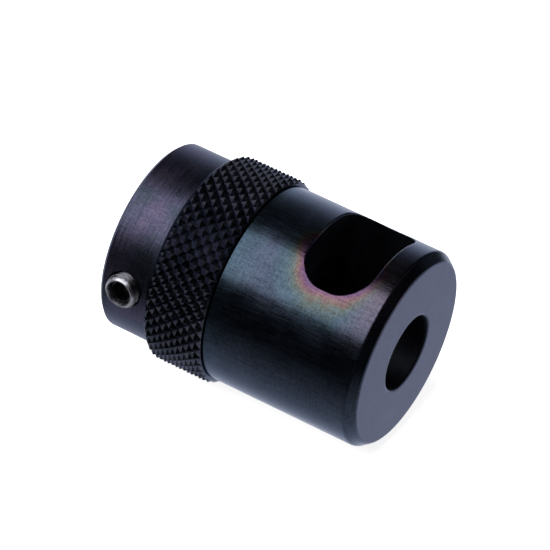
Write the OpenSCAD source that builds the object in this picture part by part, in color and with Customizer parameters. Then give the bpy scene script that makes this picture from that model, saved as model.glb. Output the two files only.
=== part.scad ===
// Quick-change drill chuck. The knurled sleeve slides forward against a spring
// and lets three balls move out of the tool shank's groove.
// +X runs along the spindle from the rear face to the nose, +Z points out of
// the window, and the clamping screw points along -Y.

/* [Sleeve] */
// Outside diameter of the barrel
barrel_d = 32; // [31:0.1:44]
// Length of the barrel in front of the knurled ring
barrel_l = 26.3; // [26:0.1:40]
// Length of the knurled ring
knurl_l = 10.5; // [10:0.1:20]
// Height of the knurl's crests over the barrel
knurl_rise = 1; // [0.4:0.1:2]
// Chamfer on both edges of the knurled ring
knurl_chamfer = 0.8; // [0.2:0.1:1.5]
// Thickness of the flange that closes the rear of the sleeve
flange_t = 2; // [1.5:0.1:2.5]
// Length of the barrel's spigot inside the knurled ring
spigot_l = 4.9; // [3:0.1:6]
// Wall of the spigot
spigot_wall = 1.2; // [0.8:0.1:1.4]
// Travel of the sleeve from locked to released
sleeve_travel = 2.5; // [1.5:0.1:3]

/* [Nose] */
// Thickness of the nose wall in front of the window
nose_wall = 4.9; // [3:0.1:8]
// Length of the nose chamfer along the barrel
nose_chamfer_l = 1.5; // [0.5:0.1:2.5]
// Depth of the nose chamfer from the barrel's surface
nose_chamfer_h = 1.15; // [0.5:0.05:2]
// Diameter of the bore in the nose
nose_bore_d = 12; // [10:0.1:16]
// Chamfer at the mouth of the nose bore
bore_chamfer = 0.3; // [0.1:0.1:1]
// Length of the window along the barrel
window_l = 11.3; // [8:0.1:12]
// Width of the window across the barrel
window_w = 20.4; // [12:0.1:26]
// Corner radius of the window
window_r = 4.9; // [2:0.1:5.5]
// Depth of the window's floor below the spindle line
window_floor = 2; // [0:0.1:6]

/* [Hub] */
// Diameter of the rear collar
collar_d = 30.5; // [26:0.1:40]
// Length of the rear collar
collar_l = 8.4; // [8:0.1:12]
// Chamfer on the rear edge of the collar
collar_chamfer = 0.5; // [0.2:0.1:1.5]
// Diameter of the spindle socket
spindle_d = 11; // [8:0.1:11.4]
// Depth of the spindle socket
spindle_depth = 13; // [8:0.1:14]
// Chamfer at the mouth of the spindle socket
spindle_chamfer = 0.5; // [0.2:0.1:1]
// Diameter of the socket for the tool's shank
shank_d = 10; // [8:0.1:12]
// Diameter of the narrower hole for the shank's slotted end
tang_d = 8; // [5:0.1:8]
// Metal left between the spindle socket and the shank's socket
web_t = 2.5; // [1.5:0.1:3]
// Gap between the front of the hub and the back of the window
hub_recess = 0.6; // [0.2:0.1:1.5]

/* [Lock] */
// Diameter of a locking ball
ball_d = 5; // [4:0.1:6]
// Depth that a locked ball reaches into the shank's socket
ball_bite = 1; // [0.5:0.1:1.2]
// Distance from the front of the hub back to the balls
ball_inset = 6.2; // [5.8:0.1:7]
// Diameter of the spring's wire
spring_wire = 1; // [0.6:0.1:1.2]
// Turns of the spring
spring_turns = 2.5; // [1.5:0.25:3]
// Thickness of the washer in front of the spring
washer_t = 1; // [0.5:0.1:1.2]
// Thickness of the snap ring
snap_t = 1; // [0.6:0.1:1.2]
// Depth of the snap ring's groove
snap_groove = 0.8; // [0.5:0.1:1.2]
// Opening angle of the snap ring
snap_gap_angle = 60; // [20:5:90]
// Width of the guide key
key_w = 3; // [2:0.1:4]
// Length of the guide key
key_l = 4.8; // [4.6:0.1:5]
// Depth of the keyway in the hub
key_depth = 1.6; // [1:0.1:1.8]
// Height of the guide key over the hub
key_rise = 1.3; // [0.8:0.1:1.5]
// Diameter of the cross pin that drives the shank
pin_d = 2.5; // [2:0.1:3]
// Thickness of the O-ring's cord
o_ring_t = 0.84; // [0.6:0.02:1]

/* [Clamping screw] */
// Thread diameter of the clamping screw
screw_d = 6; // [4:0.1:6.4]
// Length of the clamping screw
screw_l = 8; // [6:0.5:10]
// Chamfer on both ends of the clamping screw
screw_chamfer = 0.8; // [0.3:0.1:1.2]
// Width across flats of the screw's hexagon socket
socket_af = 3; // [2:0.1:3.4]
// Depth of the screw's hexagon socket
socket_depth = 3.2; // [2:0.1:4]
// Diameter of the brass pad under the screw
pad_d = 4.8; // [3:0.1:5]
// Length of the brass pad
pad_l = 3; // [1.5:0.1:3.5]

/* [Hidden] */
$fn = 96;
ball_count = 3;

// Clearances
running_gap = 0.05;   // radial, sleeve on hub and screw in its thread
seat_gap = 0.05;      // end gap between pieces that rest against each other
ball_gap = 0.03;      // radial, ball in its hole
ramp_gap = 0.04;      // ball to ramp
chamber_gap = 0.4;    // sleeve's chamber to what stands still inside it
ring_gap = 1.5;       // snap ring to ball
key_gap = 0.03;       // each side of the key in the flange
inner_gap = 0.1;      // washer over the hub
pin_gap = 0.25;       // cross pin to each end of the hole for the shank's end
cut = 1;              // how far a cutter runs past a face

steel_black = [0.10, 0.10, 0.12];
steel_bright = [0.62, 0.63, 0.65];
spring_steel = [0.35, 0.36, 0.38];
brass = [0.78, 0.62, 0.30];
rubber = [0.05, 0.05, 0.05];

// Places along the spindle
ring_x = collar_l + seat_gap;
shoulder_x = collar_l + knurl_l;
total_l = shoulder_x + barrel_l;
window_front_x = total_l - nose_wall;
window_rear_x = window_front_x - window_l;
hub_front_x = window_rear_x - hub_recess;
ball_x = hub_front_x - ball_inset;
snap_x = ball_x - ball_d / 2 - ring_gap - snap_t;
washer_x = snap_x - washer_t;
flange_front_x = ring_x + flange_t;
spigot_x = shoulder_x - spigot_l;
socket_floor_x = spindle_depth + web_t;
pin_x = socket_floor_x + pin_d / 2 + pin_gap;
tang_x = pin_x + pin_d / 2 + pin_gap;
o_ring_x = hub_front_x - 2;
screw_x = collar_l / 2;

// Radii, from the shank's socket outwards
shank_r = shank_d / 2;
core_r = shank_r + ball_d - ball_bite;
guide_r = core_r + running_gap;
key_top_r = core_r + key_rise;
spring_r = key_top_r + chamber_gap + spring_wire / 2;
chamber_r = spring_r + spring_wire / 2 + 0.7;
spigot_r = chamber_r + spigot_wall;
ring_r = barrel_d / 2 + knurl_rise;
groove_r = core_r - snap_groove;
snap_r = core_r + 2;
o_ring_groove_r = core_r - running_gap - o_ring_t;

// The ramp lifts the balls by their bite over the sleeve's travel.
ball_r = ball_d / 2;
ball_centre_r = core_r - ball_r;
ramp_slope = ball_bite / sleeve_travel;
ramp_reach = (ball_r + ramp_gap) * sqrt(1 + ramp_slope * ramp_slope) - (guide_r - ball_centre_r);
ramp_x = ball_x + ramp_reach / ramp_slope;
chamber_end_x = snap_x + snap_t + chamber_gap;
ramp_top_r = guide_r + ramp_slope * (ramp_x - chamber_end_x);

// The clamping screw stands on its pad, which stands just clear of the socket.
pad_r0 = spindle_d / 2 + seat_gap;
screw_r0 = pad_r0 + pad_l + seat_gap;
thread_r = screw_d / 2;

// Turns a solid of revolution about the spindle line.
module along_spindle() {
    rotate([0, 90, 0]) children();
}

// Puts children at the screw's place, their Z axis pointing out of the collar.
module along_screw() {
    translate([screw_x, 0, 0]) rotate([90, 0, 0]) children();
}

// Revolves an outline of [place, radius] points about the spindle line.
module turned(outline) {
    along_spindle() rotate_extrude() polygon([for (p = outline) [p[1], p[0]]]);
}

// Tube from x0 to x1 between two radii.
module tube(x0, x1, r_in, r_out) {
    turned([[x0, r_in], [x1, r_in], [x1, r_out], [x0, r_out]]);
}

// Plain round hole along the spindle.
module bore(x0, x1, r) {
    translate([x0, 0, 0]) along_spindle() cylinder(h = x1 - x0, r = r);
}

// Cone that opens a hole's mouth by its own depth.
module mouth(x0, x1, r0, r1) {
    translate([x0, 0, 0]) along_spindle() cylinder(h = x1 - x0, r1 = r0, r2 = r1);
}

// Repeats children for each ball, turned about the spindle.
module ball_place(i) {
    rotate([360 * i / ball_count, 0, 0]) translate([ball_x, 0, 0]) children();
}

// Hole for one ball, with a lip that stops it falling into the shank's socket.
module ball_hole() {
    lip_r = shank_r + ball_bite / 2;
    cylinder(h = core_r + cut, r = sqrt(ball_r * ball_r - pow(ball_centre_r - lip_r, 2)) + ball_gap);
    translate([0, 0, lip_r]) cylinder(h = core_r + cut - lip_r, r = ball_r + ball_gap);
}

// Rounded outline of the window, seen from above.
module window_outline() {
    straight_l = window_l - 2 * window_r;
    straight_w = window_w - 2 * window_r;
    square([straight_l, window_w], center = true);
    square([window_l, straight_w], center = true);
    for (sx = [-1, 1], sy = [-1, 1])
        translate([sx * straight_l / 2, sy * straight_w / 2]) circle(r = window_r);
}

// Hub: the collar that clamps on the spindle and the core that carries the lock.
module spindle_hub() {
    color(steel_black) difference() {
        turned([[0, 0], [0, collar_d / 2 - collar_chamfer], [collar_chamfer, collar_d / 2],
                [collar_l, collar_d / 2], [collar_l, core_r], [hub_front_x, core_r],
                [hub_front_x, 0]]);
        bore(-cut, spindle_depth, spindle_d / 2);
        mouth(-cut, spindle_chamfer, spindle_d / 2 + spindle_chamfer + cut, spindle_d / 2);
        bore(socket_floor_x, hub_front_x, tang_d / 2);
        bore(tang_x, hub_front_x + cut, shank_r);
        tube(snap_x, snap_x + snap_t, groove_r, core_r + cut);
        tube(o_ring_x - o_ring_t * 0.7, o_ring_x + o_ring_t * 0.7, o_ring_groove_r, core_r + cut);
        along_screw() cylinder(h = collar_d, r = thread_r);
        for (i = [0:ball_count - 1]) ball_place(i) ball_hole();
        translate([pin_x, 0, 0]) rotate([90, 0, 0])
            cylinder(h = 2 * (core_r + cut), r = pin_d / 2, center = true);
        translate([collar_l, -key_w / 2, -core_r - cut]) cube([key_l, key_w, key_depth + cut]);
    }
}

// Knurled ring: the grip, screwed on the barrel's spigot, with the rear flange.
module knurled_ring() {
    color(steel_black) difference() {
        turned([[ring_x, 0], [ring_x, ring_r - knurl_chamfer], [ring_x + knurl_chamfer, ring_r],
                [shoulder_x - knurl_chamfer, ring_r], [shoulder_x, ring_r - knurl_chamfer],
                [shoulder_x, 0]]);
        bore(ring_x - cut, shoulder_x + cut, guide_r);
        bore(flange_front_x, shoulder_x + cut, chamber_r);
        bore(spigot_x, shoulder_x + cut, spigot_r);
        translate([ring_x - cut, -key_w / 2 - key_gap, -key_top_r - 2 * key_gap])
            cube([flange_t + 2 * cut, key_w + 2 * key_gap, key_top_r]);
    }
}

// Barrel: spigot, spring chamber, ball ramp, guide bore up to the nose wall, window and nose.
module barrel() {
    barrel_r = barrel_d / 2;
    nose_r = nose_bore_d / 2;
    color(steel_black) difference() {
        turned([[spigot_x, 0], [spigot_x, spigot_r], [shoulder_x, spigot_r],
                [shoulder_x, barrel_r], [total_l - nose_chamfer_l, barrel_r],
                [total_l, barrel_r - nose_chamfer_h], [total_l, 0]]);
        turned([[spigot_x - cut, 0], [spigot_x - cut, chamber_r], [chamber_end_x, chamber_r],
                [chamber_end_x, ramp_top_r], [ramp_x, guide_r], [window_front_x, guide_r],
                [window_front_x, 0]]);
        bore(window_front_x - cut, total_l + cut, nose_r);
        mouth(total_l - bore_chamfer, total_l + cut, nose_r, nose_r + bore_chamfer + cut);
        translate([(window_rear_x + window_front_x) / 2, 0, -window_floor])
            linear_extrude(height = barrel_d) window_outline();
    }
}

// One locking ball, in its locked place.
module lock_ball(i) {
    color(steel_bright) ball_place(i) translate([0, 0, ball_centre_r]) sphere(r = ball_r);
}

// Ring of points round the spring's wire at a share t of its length.
function wire_ring(t, sides, x0, x1) =
    let (a = 360 * spring_turns * t, x = x0 + (x1 - x0) * t)
    [for (k = [0:sides - 1])
        let (b = 360 * k / sides, r = spring_r + spring_wire / 2 * cos(b))
        [x + spring_wire / 2 * sin(b), r * sin(a), r * cos(a)]];

// Spring between the sleeve's flange and the washer on the hub.
module sleeve_spring() {
    sides = 10;
    rings = round(28 * spring_turns);
    end_gap = spring_wire / 2 + seat_gap;
    points = [for (j = [0:rings])
        each wire_ring(j / rings, sides, flange_front_x + end_gap, washer_x - end_gap)];
    walls = [for (j = [0:rings - 1], k = [0:sides - 1])
        let (a = j * sides + k, b = j * sides + (k + 1) % sides)
        [b, a, a + sides, b + sides]];
    rear = [for (k = [0:sides - 1]) k];
    front = [for (k = [sides - 1:-1:0]) rings * sides + k];
    color(spring_steel) polyhedron(points = points, faces = concat(walls, [rear], [front]));
}

// Washer that the spring pushes against.
module spring_washer() {
    color(spring_steel) tube(washer_x, snap_x, core_r + inner_gap, chamber_r - chamber_gap);
}

// Snap ring in its groove on the hub, open at the bottom.
module snap_ring() {
    color(spring_steel) translate([snap_x, 0, 0]) along_spindle()
        rotate([0, 0, snap_gap_angle / 2])
            rotate_extrude(angle = 360 - snap_gap_angle)
                translate([groove_r, 0]) square([snap_r - groove_r, snap_t]);
}

// Key that keeps the sleeve from turning on the hub.
module guide_key() {
    color(steel_bright) translate([collar_l, -key_w / 2, -key_top_r])
        cube([key_l, key_w, key_rise + key_depth]);
}

// Cross pin at the bottom of the shank's socket.
module drive_pin() {
    color(steel_bright) translate([pin_x, 0, 0]) rotate([90, 0, 0])
        cylinder(h = 2 * (groove_r - 0.2), r = pin_d / 2, center = true);
}

// O-ring that keeps chips out of the lock.
module wiper_o_ring() {
    color(rubber) translate([o_ring_x, 0, 0]) along_spindle() rotate_extrude()
        translate([o_ring_groove_r + o_ring_t / 2, 0]) circle(d = o_ring_t, $fn = 32);
}

// Clamping screw with a hexagon socket.
module set_screw() {
    screw_r = thread_r - running_gap;
    color(steel_bright) along_screw() translate([0, 0, screw_r0]) difference() {
        rotate_extrude() polygon([[0, 0], [screw_r - screw_chamfer, 0], [screw_r, screw_chamfer],
                                  [screw_r, screw_l - screw_chamfer],
                                  [screw_r - screw_chamfer, screw_l], [0, screw_l]]);
        translate([0, 0, screw_l - socket_depth])
            cylinder(h = socket_depth + cut, d = socket_af / cos(30), $fn = 6);
    }
}

// Brass pad between the clamping screw and the spindle.
module screw_pad() {
    color(brass) along_screw() translate([0, 0, pad_r0]) cylinder(h = pad_l, d = pad_d);
}

spindle_hub();
knurled_ring();
barrel();
lock_ball(0);  // lock_ball_1
lock_ball(1);  // lock_ball_2
lock_ball(2);  // lock_ball_3
sleeve_spring();
spring_washer();
snap_ring();
guide_key();
drive_pin();
wiper_o_ring();
set_screw();
screw_pad();
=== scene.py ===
import math

import bmesh
import bpy
from mathutils import Matrix, Vector


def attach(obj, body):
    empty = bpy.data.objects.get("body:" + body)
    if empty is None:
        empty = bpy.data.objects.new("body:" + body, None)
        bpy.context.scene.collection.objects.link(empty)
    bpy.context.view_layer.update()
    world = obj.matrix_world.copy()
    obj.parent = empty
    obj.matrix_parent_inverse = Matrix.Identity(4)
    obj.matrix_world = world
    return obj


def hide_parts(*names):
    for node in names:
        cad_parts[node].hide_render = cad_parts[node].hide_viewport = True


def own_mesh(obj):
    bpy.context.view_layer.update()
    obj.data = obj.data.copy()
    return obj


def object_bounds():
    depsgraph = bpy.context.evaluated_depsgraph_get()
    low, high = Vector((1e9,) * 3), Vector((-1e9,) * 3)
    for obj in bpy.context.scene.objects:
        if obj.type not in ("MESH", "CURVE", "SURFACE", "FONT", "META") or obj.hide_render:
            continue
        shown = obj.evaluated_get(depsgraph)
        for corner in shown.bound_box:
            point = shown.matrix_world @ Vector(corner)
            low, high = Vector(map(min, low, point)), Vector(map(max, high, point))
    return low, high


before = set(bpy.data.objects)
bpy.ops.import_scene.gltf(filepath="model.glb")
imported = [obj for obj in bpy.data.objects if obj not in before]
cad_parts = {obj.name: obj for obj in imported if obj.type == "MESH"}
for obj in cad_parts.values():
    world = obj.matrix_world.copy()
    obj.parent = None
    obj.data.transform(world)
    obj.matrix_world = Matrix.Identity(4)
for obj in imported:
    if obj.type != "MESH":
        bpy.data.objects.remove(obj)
cad_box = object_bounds()
mm = 0.001


# ---- STUDIO
# The camera stands in front of the nose, above it and on the screw's side, far off with a
# long lens. It leans a little, so that the window is turned away from upright.
aim = Vector((21.44, 0.0, 2.79)) * mm
azimuth, elevation, lean = (math.radians(a) for a in (25.405, 35.698, 9.644))
stand_off = 568.06 * mm
back = Vector(
    (
        math.sin(azimuth) * math.cos(elevation),
        -math.cos(azimuth) * math.cos(elevation),
        math.sin(elevation),
    )
)
level = Vector((0, 0, 1)).cross(back).normalized()
upright = back.cross(level)
right = level * math.cos(lean) + upright * math.sin(lean)
up = upright * math.cos(lean) - level * math.sin(lean)

camera = bpy.data.objects.new("camera", bpy.data.cameras.new("camera"))
camera.data.lens = 245.66
camera.data.sensor_width = 36.0
camera.data.clip_start = 0.01
camera.matrix_world = (
    Matrix.Translation(aim + back * stand_off)
    @ Matrix((right, up, back)).transposed().to_4x4()
)
bpy.context.scene.collection.objects.link(camera)
bpy.context.scene.camera = camera
bpy.context.scene.view_settings.view_transform = "Standard"


class Value:
    """One output of a finish. Sums on it add Math nodes."""

    def __init__(self, finish, socket):
        self.finish = finish
        self.socket = socket

    def math(self, operation, *numbers):
        return self.finish.node(
            "ShaderNodeMath", {"operation": operation}, [self, *numbers]
        )

    def __add__(self, other):
        return self.math("ADD", other)

    def __radd__(self, other):
        return self.math("ADD", other)

    def __mul__(self, other):
        return self.math("MULTIPLY", other)

    def __rmul__(self, other):
        return self.math("MULTIPLY", other)

    def __truediv__(self, other):
        return self.math("DIVIDE", other)

    def __sub__(self, other):
        return self.math("SUBTRACT", other)

    def __rsub__(self, other):
        return self * -1.0 + other


class Finish:
    """A material, or the studio's light, put together from nodes."""

    def __init__(self, name, tree=None):
        if tree is None:
            self.material = bpy.data.materials.new(name)
            self.material.use_nodes = True
            tree = self.material.node_tree
        self.tree = tree
        self.ends = tree.nodes.get("Principled BSDF") or tree.nodes["Background"]

    def node(self, kind, settings, sockets, output=0):
        """Adds a node: its type, its settings, its sockets' values or links."""
        made = self.tree.nodes.new(kind)
        stops = settings.get("stops", ())
        for key, value in settings.items():
            if key != "stops":
                setattr(made, key, value)
        for _ in stops[2:]:
            made.color_ramp.elements.new(0.5)
        for number, (place, colour) in enumerate(stops):
            made.color_ramp.elements[number].position = place
            made.color_ramp.elements[number].color = (*colour, 1.0)
        self.join(made, sockets)
        return Value(self, made.outputs[output])

    def join(self, made, sockets):
        pairs = enumerate(sockets) if isinstance(sockets, list) else sockets.items()
        for key, value in pairs:
            if isinstance(value, Value):
                self.tree.links.new(value.socket, made.inputs[key])
            else:
                made.inputs[key].default_value = value

    def set(self, sockets):
        self.join(self.ends, sockets)


# The room is a white table lit from below, dark on the camera's side and overhead. The
# world is what the steel mirrors round the spindle line; the softbox adds the wide band.
world = bpy.data.worlds.new("studio")
world.use_nodes = True
bpy.context.scene.world = world
room = Finish("studio", world.node_tree)
facing = room.node("ShaderNodeTexCoord", {}, [])
sideways = room.node("ShaderNodeSeparateXYZ", {}, [facing], output=1)
upwards = room.node("ShaderNodeSeparateXYZ", {}, [facing], output=2)
bearing = (sideways * -1.0).math("ARCTAN2", upwards)
glow = room.node(
    "ShaderNodeValToRGB",
    {
        "stops": [
            (place, (shade * 0.96, shade * 0.97, shade * 1.04))
            for place, shade in (
                (0.00, 0.92),
                (0.25, 1.25),
                (0.29, 0.98),
                (0.33, 0.28),
                (0.40, 0.03),
                (0.80, 0.03),
                (0.86, 0.30),
                (0.93, 0.74),
                (1.00, 0.92),
            )
        ]
    },
    [bearing / (2 * math.pi) + 0.5],
)

# A black card beyond the nose keeps its chamfer dark. White cards behind the collar, in
# front of the nose and beside it light the knurl and the ends.
forwards = room.node("ShaderNodeSeparateXYZ", {}, [facing])
beside = room.node("ShaderNodeMapRange", {}, [forwards, -0.30, -0.08]) * room.node(
    "ShaderNodeMapRange", {}, [forwards, 0.74, 0.60]
)
above = room.node("ShaderNodeMapRange", {}, [upwards, -0.34, -0.14])
black_card = room.node(
    "ShaderNodeMix",
    {"data_type": "RGBA", "blend_type": "MULTIPLY"},
    {0: beside * above, 6: glow, 7: (0.07, 0.07, 0.07, 1.0)},
    output=2,
)
white_cards = room.node(
    "ShaderNodeValToRGB",
    {
        "stops": [
            (place, (shade, shade, shade))
            for place, shade in (
                (0.00, 0.60),
                (0.15, 0.60),
                (0.21, 0.00),
                (0.56, 0.00),
                (0.62, 0.12),
                (0.68, 0.12),
                (0.74, 0.00),
                (0.98, 0.00),
                (0.99, 0.45),
            )
        ]
    },
    [forwards * 0.5 + 0.5],
)
room.set(
    {
        "Color": room.node(
            "ShaderNodeMix",
            {"data_type": "RGBA", "blend_type": "LIGHTEN"},
            {0: 1.0, 6: black_card, 7: white_cards},
            output=2,
        )
    }
)

softbox_turn = math.radians(31)
softbox_way = Vector((-0.37, -math.sin(softbox_turn), math.cos(softbox_turn))).normalized()
softbox_side = (Vector((1, 0, 0)) - softbox_way * softbox_way.x).normalized()
softbox = bpy.data.objects.new("softbox", bpy.data.lights.new("softbox", "AREA"))
softbox.data.shape = "RECTANGLE"
softbox.data.size = 1.3
softbox.data.size_y = 0.98
softbox.data.energy = 13.5
softbox.matrix_world = (
    Matrix.Translation(softbox_way)
    @ Matrix((softbox_side, softbox_way.cross(softbox_side), softbox_way))
    .transposed()
    .to_4x4()
)
bpy.context.scene.collection.objects.link(softbox)

# The table is a wide pale disc. It glows a little, so that there is hardly any shadow.
disc = bmesh.new()
bmesh.ops.create_circle(
    disc,
    cap_ends=True,
    segments=64,
    radius=4.0,
    matrix=Matrix.Translation((0, 0, cad_box[0][2])),
)
table = bpy.data.objects.new("table", bpy.data.meshes.new("table"))
disc.to_mesh(table.data)
disc.free()
bpy.context.scene.collection.objects.link(table)
table.visible_glossy = False
pale_table = Finish("pale_table")
pale_table.set(
    {
        "Base Color": (0.9, 0.9, 0.9, 1.0),
        "Roughness": 0.9,
        "Emission Color": (1.0, 1.0, 1.0, 1.0),
        "Emission Strength": 0.85,
    }
)
table.data.materials.append(pale_table.material)


# ---- HUB
# Bar steel, turned in one setting: the collar that clamps on the spindle, and the core that
# carries the balls. The cross holes and keyway are milled after, then it is hot-blackened.
def made_piece(name, bm):
    """A new object with this mesh."""
    made = bpy.data.objects.new(name, bpy.data.meshes.new(name))
    bm.to_mesh(made.data)
    bm.free()
    bpy.context.scene.collection.objects.link(made)
    return made


def turned(name, outline, steps=256, line=Matrix()):
    """Turns an outline of [place, radius] points in mm about the X axis, or another line."""
    bm = bmesh.new()
    points = [bm.verts.new((x * mm, 0, r * mm)) for x, r in outline]
    ends = points if outline[0][1] == 0 else points + points[:1]
    edges = [bm.edges.new(pair) for pair in zip(ends, ends[1:])]
    bmesh.ops.spin(
        bm,
        geom=points + edges,
        cent=(0, 0, 0),
        axis=(1, 0, 0),
        angle=2 * math.pi,
        steps=steps,
        use_merge=True,
    )
    bmesh.ops.remove_doubles(bm, verts=bm.verts, dist=1e-7)
    bmesh.ops.recalc_face_normals(bm, faces=bm.faces)
    bmesh.ops.transform(bm, matrix=line, verts=bm.verts)
    return made_piece(name, bm)


def settled(made):
    """Applies the piece's modifiers."""
    graph = bpy.context.evaluated_depsgraph_get()
    mesh = bpy.data.meshes.new_from_object(made.evaluated_get(graph))
    made.modifiers.clear()
    made.data = mesh


def cut(made, *cutters, operation="DIFFERENCE"):
    """Cuts the piece with each cutter, which is then thrown away."""
    for cutter in cutters:
        step = made.modifiers.new("cut", "BOOLEAN")
        step.operation = operation
        step.solver = "EXACT"
        step.object = cutter
        settled(made)
        bpy.data.objects.remove(cutter)


def drill(radius, start, end, line, sides=48, tip=None):
    """A round cutter in mm along a line's X axis, from start to end, or tapered to tip."""
    bm = bmesh.new()
    bmesh.ops.create_cone(
        bm,
        cap_ends=True,
        segments=sides,
        radius1=radius * mm,
        radius2=(radius if tip is None else tip) * mm,
        depth=(end - start) * mm,
        matrix=line
        @ Matrix.Translation(((start + end) / 2 * mm, 0, 0))
        @ Matrix.Rotation(math.pi / 2, 4, "Y"),
    )
    return made_piece("drill", bm)


def block(low, high):
    """A square cutter or blank between two corners in mm."""
    low, high = Vector(low) * mm, Vector(high) * mm
    bm = bmesh.new()
    bmesh.ops.create_cube(
        bm,
        size=1.0,
        matrix=Matrix.Translation((low + high) / 2)
        @ Matrix.Diagonal((*(high - low), 1.0)),
    )
    return made_piece("block", bm)


def edges_broken(made, width, steps=2, free=False):
    """Breaks the sharp edges by width in mm, and shades the curved faces smooth."""
    made.data.shade_smooth()
    step = made.modifiers.new("edges", "BEVEL")
    step.width = width * mm
    step.segments = steps
    step.limit_method = "ANGLE"
    step.angle_limit = math.radians(25)
    step.harden_normals = True
    step.use_clamp_overlap = not free
    settled(made)


def fitted(made, node, body, finish):
    """Puts a finished piece on its CAD body, in place of its CAD node."""
    made.data.materials.clear()
    made.data.materials.append(finish.material)
    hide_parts(node)
    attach(made, body)


screw_place, pin_place, ball_place = 4.2, 17.0, 22.2
screw_line = Matrix.Translation((screw_place * mm, 0, 0)) @ Matrix.Rotation(
    -math.pi / 2, 4, "Z"
)
pin_line = Matrix.Translation((pin_place * mm, 0, 0)) @ Matrix.Rotation(
    math.pi / 2, 4, "Z"
)
ball_lines = [
    Matrix.Translation((ball_place * mm, 0, 0))
    @ Matrix.Rotation(math.radians(120 * place), 4, "X")
    @ Matrix.Rotation(-math.pi / 2, 4, "Y")
    for place in range(3)
]
key_rear, key_front, key_half_width, key_bed = 8.4, 13.2, 1.5, -7.4

hub = turned(
    "turned_hub",
    [
        (13.0, 0.0),
        (13.0, 5.5),
        (0.5, 5.5),
        (0.0, 6.0),
        (0.0, 14.75),
        (0.5, 15.25),
        (8.4, 15.25),
        (8.4, 9.0),
        (17.2, 9.0),
        (17.2, 8.2),
        (18.2, 8.2),
        (18.2, 9.0),
        (25.812, 9.0),
        (25.812, 8.11),
        (26.988, 8.11),
        (26.988, 9.0),
        (28.2, 9.0),
        (28.4, 8.8),
        (28.4, 5.2),
        (28.2, 5.0),
        (18.5, 5.0),
        (18.5, 4.0),
        (15.5, 4.0),
        (15.5, 0.0),
    ],
)
cut(
    hub,
    drill(3.0, 0.0, 20.0, screw_line),
    drill(1.25, -12.0, 12.0, pin_line),
    *[drill(2.53, 5.5, 12.0, line) for line in ball_lines],
    block((key_rear, -key_half_width, -12.0), (key_front, key_half_width, key_bed)),
)
edges_broken(hub, 0.12)


def blackened_steel(name, tint, lay, cross, depth):
    """Hot-blackened steel. lay and cross are how far the two sets of tool marks run along
    X, Y and Z in mm. tint maps the finish and its marks to a colour and a roughness."""
    steel = Finish(name)
    place = steel.node("ShaderNodeTexCoord", {}, [], output="Object")

    def noise(lengths, detail):
        spot = steel.node(
            "ShaderNodeVectorMath",
            {"operation": "DIVIDE"},
            [place, tuple(length * mm for length in lengths)],
        )
        return steel.node(
            "ShaderNodeTexNoise", {}, {"Vector": spot, "Scale": 1.0, "Detail": detail}
        ) - 0.5

    grain = noise(lay, 3.0)
    lines = noise(cross, 3.0)
    cloud = noise((4.5, 4.5, 4.5), 3.0)
    speck = noise((0.35, 0.35, 0.35), 3.0)
    shade = grain * 1.9 * depth + lines * 1.1 * depth + cloud * 0.9 + speck * 1.2 + 1.0
    stain, roughness = tint(steel, place, cloud, grain)
    colour = steel.node(
        "ShaderNodeMix",
        {"data_type": "RGBA", "blend_type": "MULTIPLY"},
        {0: 1.0, 6: stain, 7: shade},
        output=2,
    )
    relief = steel.node(
        "ShaderNodeBump",
        {},
        {
            "Strength": 0.3,
            "Distance": 0.01 * mm,
            "Height": (grain + lines * 0.5) * depth + speck * 0.4,
        },
    )
    steel.set(
        {
            "Base Color": colour,
            "Metallic": 1.0,
            "Roughness": grain * 0.2 + cloud * 0.15 + roughness,
            "Specular Tint": (0.76, 0.81, 0.94, 1.0),
            "Normal": relief,
        }
    )
    return steel


def collar_tint(steel, place, cloud, grain):
    """Lilac, with slate patches."""
    patches = steel.node(
        "ShaderNodeValToRGB",
        {
            "stops": [
                (0.38, (0.032, 0.038, 0.054)),
                (0.50, (0.040, 0.039, 0.066)),
                (0.62, (0.046, 0.040, 0.066)),
            ]
        },
        [cloud + grain * 0.3 + 0.5],
    )
    return patches, 0.36


turned_black_steel = blackened_steel(
    "turned_black_steel",
    collar_tint,
    lay=(0.17, 5.0, 5.0),
    cross=(2.0, 0.2, 0.2),
    depth=0.7,
)
fitted(hub, "spindle_hub", "hub", turned_black_steel)


# ---- KNURLED RING
# A steel ring with a diamond knurl pressed in by two wheels, 51 grooves each way. Both
# edges are chamfered after, and it is screwed on the barrel's spigot, then blackened.
ring_rear, flange_front, ring_front = 8.45, 10.45, 18.9
crest_radius = 16.98
groove_depth = 0.66
facet_run = 0.72
starts = 51
diamond = 2 * math.pi * crest_radius / starts
middle = (ring_rear + ring_front) / 2
rows = 4

knurl = bmesh.new()
side = diamond / math.sqrt(2)
across = 2 * (starts + 2 * rows)
bmesh.ops.create_grid(
    knurl,
    x_segments=across,
    y_segments=across,
    size=across * side / 2 * mm,
    matrix=Matrix.Rotation(math.pi / 4, 4, "Z"),
)
outside = [
    face
    for face in knurl.faces
    if abs(face.calc_center_median().x / mm + 0.01) > starts * diamond / 2
    or abs(face.calc_center_median().y / mm) > (rows - 0.4) * diamond
]
bmesh.ops.delete(knurl, geom=outside, context="FACES")
bmesh.ops.inset_individual(
    knurl,
    faces=knurl.faces,
    thickness=facet_run * mm,
    depth=groove_depth * mm,
    use_even_offset=True,
)
for point in knurl.verts:
    turn = point.co.x / (crest_radius * mm)
    radius = (crest_radius - groove_depth) * mm + point.co.z
    point.co = (
        middle * mm + point.co.y,
        radius * math.sin(turn),
        radius * math.cos(turn),
    )
bmesh.ops.remove_doubles(knurl, verts=knurl.verts, dist=0.001 * mm)
rims = [edge for edge in knurl.edges if edge.is_boundary]
inward = bmesh.ops.extrude_edge_only(knurl, edges=rims)["geom"]
for point in inward:
    if isinstance(point, bmesh.types.BMVert):
        point.co.y *= 0.4
        point.co.z *= 0.4
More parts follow.
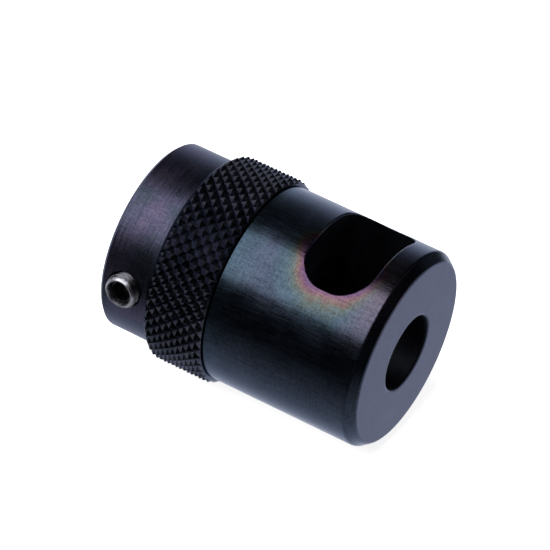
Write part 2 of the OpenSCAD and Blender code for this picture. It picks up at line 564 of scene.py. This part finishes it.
bmesh.ops.bridge_loops(
    knurl, edges=[edge for edge in inward if isinstance(edge, bmesh.types.BMEdge)]
)
bmesh.ops.recalc_face_normals(knurl, faces=knurl.faces)
ring = turned(
    "knurled_grip",
    [
        (ring_rear, 9.05),
        (ring_rear, 15.9),
        (9.57, 17.02),
        (18.2, 17.02),
        (ring_front, 16.32),
        (ring_front, 13.6),
        (14.0, 13.6),
        (14.0, 12.4),
        (flange_front, 12.4),
        (flange_front, 9.05),
    ],
)
cut(ring, block((8.0, -1.53, -10.36), (11.0, 1.53, 0.0)))
cut(ring, made_piece("knurl", knurl), operation="INTERSECT")
ring.data.shade_smooth()
ring.data.set_sharp_from_angle(angle=math.radians(20))


def grip_tint(steel, place, cloud, grain):
    """Near black, a little blue."""
    patches = steel.node(
        "ShaderNodeValToRGB",
        {"stops": [(0.35, (0.036, 0.040, 0.054)), (0.65, (0.054, 0.056, 0.076))]},
        [cloud + 0.5],
    )
    return patches, 0.22


knurled_black_steel = blackened_steel(
    "knurled_black_steel",
    grip_tint,
    lay=(0.5, 0.5, 0.5),
    cross=(0.15, 3.0, 3.0),
    depth=0.5,
)
fitted(ring, "knurled_ring", "sleeve", knurled_black_steel)


# ---- BARREL
# The front of the sleeve, turned from bar and drawn lengthways with emery before blackening.
# The window is end-milled to a flat floor, and the heat left tints along one side of it.
total = 45.2
window_front = 40.3
window_rear = 29.0
barrel = turned(
    "milled_barrel",
    [
        (14.0, 12.4),
        (14.0, 13.6),
        (18.9, 13.6),
        (18.9, 16.0),
        (total - 1.5, 16.0),
        (total, 14.85),
        (total, 6.3),
        (total - 0.3, 6.0),
        (window_front, 6.0),
        (window_front, 9.05),
        (22.66, 9.05),
        (18.6, 10.68),
        (18.6, 12.4),
    ],
)
window_length, window_width, window_corner, window_floor = 11.3, 20.4, 4.9, 2.0
mill = bmesh.new()
bmesh.ops.create_grid(
    mill,
    x_segments=1,
    y_segments=1,
    size=0.5,
    matrix=Matrix.Translation(
        ((window_front + window_rear) / 2 * mm, 0, -window_floor * mm)
    )
    @ Matrix.Diagonal((window_length * mm, window_width * mm, 1.0, 1.0)),
)
bmesh.ops.bevel(
    mill,
    geom=mill.verts[:],
    offset=window_corner * mm,
    segments=32,
    affect="VERTICES",
    profile=0.5,
    material=-1,
)
raised = bmesh.ops.extrude_face_region(mill, geom=mill.faces[:])["geom"]
bmesh.ops.translate(
    mill,
    vec=(0, 0, 20 * mm),
    verts=[v for v in raised if isinstance(v, bmesh.types.BMVert)],
)
bmesh.ops.recalc_face_normals(mill, faces=mill.faces)
cut(barrel, made_piece("mill", mill))
edges_broken(barrel, 0.3, steps=4, free=True)


def heat_tint(steel, place, cloud, grain):
    """Blue steel, with bands of violet, rose, straw and green along one side of the window,
    rose between it and the nose, and cyan by the ring. The holes are left dull, and their
    colour is painted darker as shade."""
    x, y, z = (
        steel.node("ShaderNodeSeparateXYZ", {}, [place], output=axis) / mm
        for axis in range(3)
    )
    radius = (y * y + z * z).math("SQRT")
    along = (x - (window_front + window_rear) / 2).math("ABSOLUTE")
    along = (along - (window_length / 2 - window_corner)).math("MAXIMUM", 0.0)
    across = y.math("ABSOLUTE") - (window_width / 2 - window_corner)
    across = across.math("MAXIMUM", 0.0)
    away = (along * along + across * across).math("SQRT") - window_corner
    away = away + (4.0 - z).math("MAXIMUM", 0.0) + (y + 4.0).math("MAXIMUM", 0.0) * 0.8
    away = away + cloud * 2.6 + grain * 1.6
    bands = steel.node(
        "ShaderNodeValToRGB",
        {
            "stops": [
                (0.00, (0.050, 0.034, 0.074)),
                (0.08, (0.064, 0.036, 0.070)),
                (0.13, (0.080, 0.046, 0.056)),
                (0.17, (0.072, 0.056, 0.050)),
                (0.22, (0.046, 0.058, 0.058)),
                (0.32, (0.034, 0.052, 0.070)),
                (0.55, (0.034, 0.043, 0.066)),
                (1.00, (0.031, 0.040, 0.058)),
            ]
        },
        [away * 0.1 + 0.03],
    )

    def over(under, colour, share):
        return steel.node(
            "ShaderNodeMix",
            {"data_type": "RGBA"},
            {0: share, 6: under, 7: (*colour, 1.0)},
            output=2,
        )

    near_nose = steel.node(
        "ShaderNodeMapRange", {}, [x + cloud * 3.0, window_front - 1.5, total - 2.0]
    ) * steel.node("ShaderNodeMapRange", {}, [away, 7.5, 3.5])
    near_ring = steel.node("ShaderNodeMapRange", {}, [x + cloud * 3.0, 24.0, 19.0])
    on_nose = x.math("GREATER_THAN", total - 0.02)
    # Painted shade: the bores, the spigot and the window's walls are given a darker colour
    # that stands in for the shade inside them.
    in_hole = radius.math("LESS_THAN", 15.7) * x.math("LESS_THAN", total - 1.6)
    in_hole = in_hole.math("MAXIMUM", radius.math("LESS_THAN", 6.25))
    tint = over(bands, (0.060, 0.045, 0.062), near_nose * 0.8)
    tint = over(tint, (0.028, 0.050, 0.070), near_ring * 0.6)
    tint = over(tint, (0.031, 0.029, 0.047), on_nose)
    # The last mix paints that shade into the holes. Their raised roughness is the dull
    # finish.
    return over(tint, (0.014, 0.015, 0.020), in_hole), in_hole * 0.35 + 0.25


drawn_black_steel = blackened_steel(
    "drawn_black_steel",
    heat_tint,
    lay=(3.5, 0.17, 0.17),
    cross=(0.14, 3.0, 3.0),
    depth=0.7,
)
fitted(barrel, "barrel", "sleeve", drawn_black_steel)


# ---- LOCK BALLS
# Three hardened and polished bearing balls, faintly scuffed all over. Each lies in its own
# cross hole in the hub, with its inner side in the tool's socket.
ball_radius, ball_out = 2.5, 6.5
bearing_steel = Finish("bearing_steel")
place = bearing_steel.node("ShaderNodeTexCoord", {}, [], output="Object")
scuff = bearing_steel.node(
    "ShaderNodeTexNoise", {}, {"Vector": place, "Scale": 2500.0, "Detail": 5.0}
)
bearing_steel.set(
    {
        "Base Color": bearing_steel.node(
            "ShaderNodeValToRGB",
            {"stops": [(0.3, (0.52, 0.53, 0.55)), (0.7, (0.68, 0.69, 0.71))]},
            [scuff],
        ),
        "Metallic": 1.0,
        "Roughness": scuff * 0.25 + 0.02,
    }
)
for number, line in enumerate(ball_lines, 1):
    ball = bmesh.new()
    bmesh.ops.create_icosphere(
        ball,
        subdivisions=4,
        radius=ball_radius * mm,
        matrix=line @ Matrix.Translation((ball_out * mm, 0, 0)),
    )
    ball = made_piece(f"bearing_ball_{number}", ball)
    ball.data.shade_smooth()
    fitted(ball, f"lock_ball_{number}", f"ball_{number}", bearing_steel)


# ---- SLEEVE SPRING
# Round spring wire, 1 mm thick, wound to two and a half turns over the hub. It lies between
# the ring's flange and the washer, and is squeezed as the sleeve goes forward.
wire_radius, coil_radius, coil_turns = 0.5, 11.2, 2.5
coil_start, coil_end = 11.0, 15.65
spring = bmesh.new()
bmesh.ops.create_circle(
    spring,
    cap_ends=True,
    segments=20,
    radius=wire_radius * mm,
    matrix=Matrix.Translation((coil_start * mm, 0, coil_radius * mm))
    @ Matrix.Rotation(math.pi / 2, 4, "X"),
)
coil_steps = 160
bmesh.ops.spin(
    spring,
    geom=spring.verts[:] + spring.edges[:] + spring.faces[:],
    cent=(0, 0, 0),
    axis=(1, 0, 0),
    dvec=((coil_end - coil_start) / coil_steps * mm, 0, 0),
    angle=-2 * math.pi * coil_turns,
    steps=coil_steps,
)
bmesh.ops.recalc_face_normals(spring, faces=spring.faces)
spring = made_piece("wound_spring", spring)
spring.data.shade_smooth()
spring.data.set_sharp_from_angle(angle=math.radians(40))


def worn_steel(name, dark, bright, roughness, lay=(0.3, 0.3, 0.3)):
    """Bare or oiled steel with a fine grain between two colours."""
    steel = Finish(name)
    place = steel.node("ShaderNodeTexCoord", {}, [], output="Object")
    marks = steel.node(
        "ShaderNodeVectorMath",
        {"operation": "DIVIDE"},
        [place, tuple(length * mm for length in lay)],
    )
    grain = steel.node(
        "ShaderNodeTexNoise", {}, {"Vector": marks, "Scale": 1.0, "Detail": 4.0}
    )
    steel.set(
        {
            "Base Color": steel.node(
                "ShaderNodeValToRGB", {"stops": [(0.35, dark), (0.65, bright)]}, [grain]
            ),
            "Metallic": 1.0,
            "Roughness": (grain - 0.5) * 0.4 + roughness,
            "Normal": steel.node(
                "ShaderNodeBump",
                {},
                {"Strength": 0.3, "Distance": 0.01 * mm, "Height": grain},
            ),
        }
    )
    return steel


oiled_spring_steel = worn_steel(
    "oiled_spring_steel", (0.16, 0.16, 0.17), (0.30, 0.30, 0.32), 0.3
)
fitted(spring, "sleeve_spring", "hub", oiled_spring_steel)
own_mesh(spring)


# ---- WASHER AND SNAP RING
# Stamped spring steel. The snap ring sits in its groove on the hub, open at the bottom,
# with a hole in each end for the pliers, and holds the washer against the spring.
washer = turned(
    "thrust_washer", [(16.2, 9.1), (16.2, 12.0), (17.2, 12.0), (17.2, 9.1)], steps=128
)
edges_broken(washer, 0.12)
fitted(washer, "spring_washer", "hub", oiled_spring_steel)

snap_opening = math.radians(60)
snap_place, snap_middle_radius = 17.7, 9.6
snap_thickness, snap_width = 1.0, 2.8
plier_hole_radius, plier_hole_out, plier_hole_turn = 0.6, 9.7, 0.14
snap = bmesh.new()
bmesh.ops.create_grid(
    snap,
    x_segments=1,
    y_segments=1,
    size=0.5,
    matrix=Matrix.Rotation(math.pi + snap_opening / 2, 4, "X")
    @ Matrix.Translation((snap_place * mm, 0, snap_middle_radius * mm))
    @ Matrix.Rotation(math.pi / 2, 4, "X")
    @ Matrix.Diagonal((snap_thickness * mm, snap_width * mm, 1.0, 1.0)),
)
bmesh.ops.spin(
    snap,
    geom=snap.verts[:] + snap.edges[:] + snap.faces[:],
    cent=(0, 0, 0),
    axis=(1, 0, 0),
    angle=2 * math.pi - snap_opening,
    steps=120,
)
bmesh.ops.recalc_face_normals(snap, faces=snap.faces)
snap = made_piece("circlip", snap)
for turn in (-1, 1):
    cut(
        snap,
        drill(
            plier_hole_radius,
            16.0,
            19.0,
            Matrix.Rotation(
                math.pi + turn * (snap_opening / 2 + plier_hole_turn), 4, "X"
            )
            @ Matrix.Translation((0, 0, plier_hole_out * mm)),
            sides=24,
        ),
    )
edges_broken(snap, 0.12)
fitted(snap, "snap_ring", "hub", oiled_spring_steel)


# ---- GUIDE KEY, DRIVE PIN AND O-RING
# The key is ground flat stock let into the hub, and keeps the sleeve from turning. The pin
# is a ground dowel that drives the shank's slot. The O-ring is nitrile rubber.
key_top = -10.3
key = block((key_rear, -key_half_width, key_top), (key_front, key_half_width, key_bed))
key.name = "ground_key"
edges_broken(key, 0.15)
ground_steel = worn_steel(
    "ground_steel", (0.40, 0.41, 0.43), (0.56, 0.57, 0.59), 0.25, lay=(2.0, 0.1, 0.1)
)
fitted(key, "guide_key", "hub", ground_steel)

pin = turned(
    "cross_pin",
    [(-8.0, 0.0), (-8.0, 1.0), (-7.75, 1.25), (7.75, 1.25), (8.0, 1.0), (8.0, 0.0)],
    steps=48,
    line=pin_line,
)
edges_broken(pin, 0.05)
fitted(pin, "drive_pin", "hub", ground_steel)

cord_radius, cord_place, cord_middle_radius = 0.42, 26.4, 8.53
cord_section = [
    (
        cord_place + cord_radius * math.cos(turn),
        cord_middle_radius + cord_radius * math.sin(turn),
    )
    for turn in (2 * math.pi * step / 20 for step in range(20))
]
o_ring = turned("o_ring", cord_section, steps=128)
o_ring.data.shade_smooth()
black_rubber = Finish("black_rubber")
place = black_rubber.node("ShaderNodeTexCoord", {}, [], output="Object")
bloom = black_rubber.node(
    "ShaderNodeTexNoise", {}, {"Vector": place, "Scale": 1500.0, "Detail": 4.0}
)
black_rubber.set(
    {
        "Base Color": black_rubber.node(
            "ShaderNodeValToRGB",
            {"stops": [(0.3, (0.012, 0.012, 0.013)), (0.75, (0.03, 0.03, 0.032))]},
            [bloom],
        ),
        "Roughness": bloom * 0.3 + 0.45,
    }
)
fitted(o_ring, "wiper_o_ring", "hub", black_rubber)


# ---- CLAMPING SCREW
# A blackened grub screw, 8 mm long, with a rolled thread, chamfered ends and a 3 mm hexagon
# socket, rubbed bright at its rim. The thread is 5.5 mm over its crests, which isn't M6: the
# frame's own screw is a plain 5.9 mm cylinder that stands in for an M6 thread.
screw_start, screw_length, pitch, thread_depth = 8.6, 8.0, 1.0, 0.5
screw_radius, end_radius = 2.75, 2.25
socket_flats, socket_depth = 3.0, 3.2
mouth_floor_radius, mouth_radius, mouth_depth = 1.72, 2.16, 0.9
grub = bmesh.new()
bmesh.ops.create_cone(
    grub, cap_ends=True, segments=72, radius1=1.0, radius2=1.0, depth=1.0
)
bmesh.ops.subdivide_edges(
    grub,
    edges=[e for e in grub.edges if abs(e.verts[0].co.z - e.verts[1].co.z) > 0.5],
    cuts=95,
    use_grid_fill=True,
)
for point in grub.verts:
    along = (point.co.z + 0.5) * screw_length
    turn = math.atan2(point.co.y, point.co.x)
    flank = abs(2 * ((along / pitch - turn / (2 * math.pi)) % 1.0) - 1)
    radius = screw_radius - thread_depth * min(max(1.25 * flank - 0.15, 0.0), 1.0)
    radius = min(radius, end_radius + min(along, screw_length - along))
    point.co = Vector(
        (screw_start + along, radius * math.cos(turn), radius * math.sin(turn))
    ) * mm
bmesh.ops.recalc_face_normals(grub, faces=grub.faces)
bmesh.ops.transform(grub, matrix=screw_line, verts=grub.verts)
screw = made_piece("grub_screw", grub)
screw_end = screw_start + screw_length
cut(
    screw,
    drill(
        socket_flats / 2 / math.cos(math.pi / 6),
        screw_end - socket_depth,
        screw_end + 1,
        screw_line,
        6,
    ),
    drill(
        mouth_floor_radius,
        screw_end - mouth_depth,
        screw_end + 0.3,
        screw_line,
        64,
        tip=mouth_radius,
    ),
)
screw.data.shade_smooth()
screw.data.set_sharp_from_angle(angle=math.radians(28))
rubbed_screw_steel = Finish("rubbed_screw_steel")
place = rubbed_screw_steel.node("ShaderNodeTexCoord", {}, [], output="Object")
fleck = rubbed_screw_steel.node(
    "ShaderNodeTexNoise", {}, {"Vector": place, "Scale": 2200.0, "Detail": 4.0}
)
reach = rubbed_screw_steel.node("ShaderNodeSeparateXYZ", {}, [place], output=1) / -mm
wear = rubbed_screw_steel.node(
    "ShaderNodeMapRange",
    {},
    [reach + (fleck - 0.5) * 0.5, screw_end - 0.45, screw_end - 0.05],
)
rubbed_screw_steel.set(
    {
        "Base Color": rubbed_screw_steel.node(
            "ShaderNodeValToRGB",
            {"stops": [(0.0, (0.06, 0.06, 0.07)), (1.0, (0.42, 0.42, 0.46))]},
            [wear * 0.8 + (fleck - 0.4) * 0.5],
        ),
        "Metallic": 1.0,
        "Roughness": fleck * 0.3 + 0.15,
    }
)
fitted(screw, "set_screw", "screw", rubbed_screw_steel)


# ---- SCREW PAD
# A short brass plug, turned from rod. It lies between the screw and the spindle, so that
# the screw's end doesn't mark the spindle.
pad = turned(
    "brass_plug",
    [(5.55, 0.0), (5.55, 2.15), (5.8, 2.4), (8.3, 2.4), (8.55, 2.15), (8.55, 0.0)],
    steps=64,
    line=screw_line,
)
edges_broken(pad, 0.05)
turned_brass = worn_steel(
    "turned_brass", (0.55, 0.38, 0.13), (0.80, 0.60, 0.27), 0.25, lay=(2.0, 0.15, 2.0)
)
fitted(pad, "screw_pad", "pad", turned_brass)
